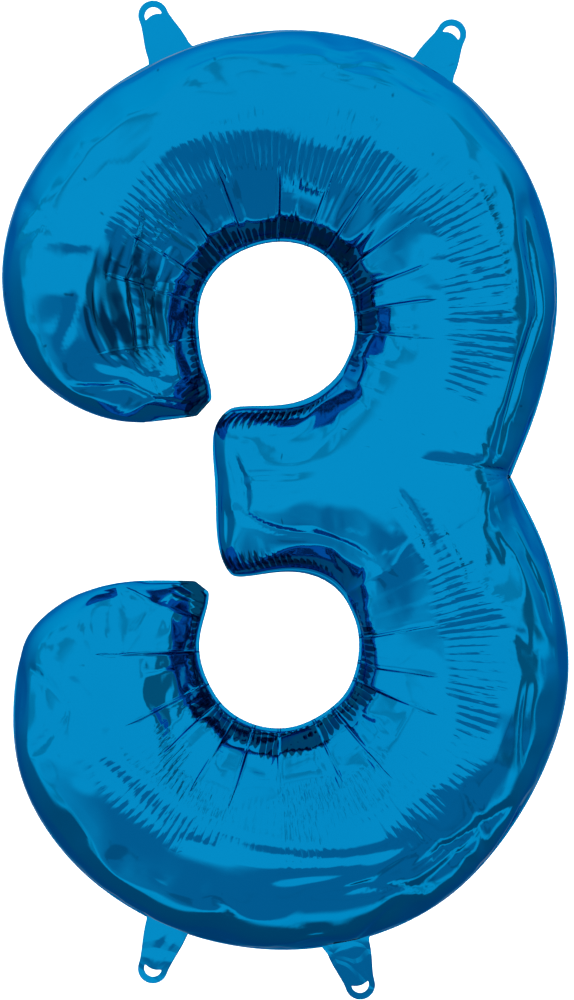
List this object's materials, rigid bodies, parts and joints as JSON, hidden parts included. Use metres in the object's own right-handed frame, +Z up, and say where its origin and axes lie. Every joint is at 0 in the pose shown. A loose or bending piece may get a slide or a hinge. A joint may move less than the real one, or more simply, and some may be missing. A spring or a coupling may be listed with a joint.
{
  "type": "foil number balloon",
  "caption": "Inflated foil balloon in the outline of the figure three, its films sealed at a flat edge, with bending holed hanging tabs and a self-sealing fill valve.",
  "frame": {"origin": "centre of the bounding box, on the seam plane", "axes": "+X to the figure's right as read, +Z up, -Y out of the front film"},
  "size_m": [0.4928, 0.1482, 0.864],
  "materials": {
    "foil": "mirror-bright blue metallised film",
    "valve_film": "thin clear film"
  },
  "bodies": {
    "balloon": {"front_film": "foil", "back_film": "foil", "valve_front_ply": "valve_film", "valve_back_ply": "valve_film"},
    "top_left_tab": {"top_left_tab_front": "foil", "top_left_tab_back": "foil"},
    "top_right_tab": {"top_right_tab_front": "foil", "top_right_tab_back": "foil"},
    "bottom_left_tab": {"bottom_left_tab_front": "foil", "bottom_left_tab_back": "foil"},
    "bottom_right_tab": {"bottom_right_tab_front": "foil", "bottom_right_tab_back": "foil"},
    "valve_leaf": {"valve_back_leaf": "valve_film"}
  },
  "joints": [
    {"name": "top_left_tab_bend", "type": "hinge", "parent": "balloon", "child": "top_left_tab", "pos_m": [-0.1008, 0, 0.38808], "axis": [0.9171, 0, 0.3987], "range_deg": [-90, 90], "stiffness_Nm_per_rad": 0.001},
    {"name": "top_right_tab_bend", "type": "hinge", "parent": "balloon", "child": "top_right_tab", "pos_m": [0.1287, 0, 0.37508], "axis": [0.8829, 0, -0.4695], "range_deg": [-90, 90], "stiffness_Nm_per_rad": 0.001},
    {"name": "bottom_left_tab_bend", "type": "hinge", "parent": "balloon", "child": "bottom_left_tab", "pos_m": [-0.1018, 0, -0.36742], "axis": [-0.9455, 0, 0.3256], "range_deg": [-90, 90], "stiffness_Nm_per_rad": 0.001},
    {"name": "bottom_right_tab_bend", "type": "hinge", "parent": "balloon", "child": "bottom_right_tab", "pos_m": [0.0542, 0, -0.38542], "axis": [-0.9537, 0, -0.3007], "range_deg": [-90, 90], "stiffness_Nm_per_rad": 0.001},
    {"name": "valve_leaf_bend", "type": "hinge", "parent": "balloon", "child": "valve_leaf", "pos_m": [0.05023, 0, -0.37283], "axis": [-0.9537, 0, -0.3007], "range_deg": [0, 6], "stiffness_Nm_per_rad": 0.001}
  ]
}
